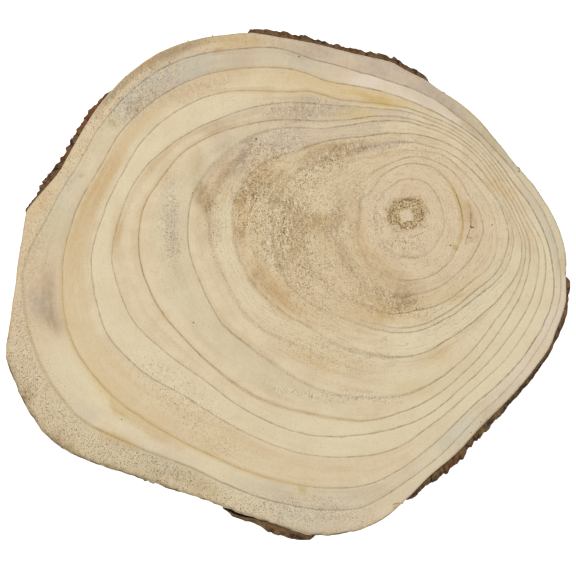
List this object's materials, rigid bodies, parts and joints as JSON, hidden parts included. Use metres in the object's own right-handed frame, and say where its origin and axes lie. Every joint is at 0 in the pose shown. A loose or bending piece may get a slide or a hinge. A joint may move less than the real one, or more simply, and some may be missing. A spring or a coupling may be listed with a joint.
{
  "type": "wood slice",
  "caption": "Sawn slice of a tree trunk with an off-centre pith, growth rings and remnants of bark on its rim.",
  "frame": {"origin": "middle of the bounding box's underside, on the plane that the slice rests on", "axes": "+Z out of the sawn top face, +X to the right and +Y up as the picture shows that face; the width along X is the longest extent and the thickness along Z the shortest"},
  "size_m": [0.3162, 0.2864, 0.028],
  "materials": {
    "wood": "dry, sawn and sanded, unvarnished",
    "bark": "rough dark bark"
  },
  "bodies": {
    "root": {"wood": "wood", "bark_top": "bark", "bark_left": "bark", "bark_right": "bark", "bark_bottom": "bark"}
  },
  "joints": []
}
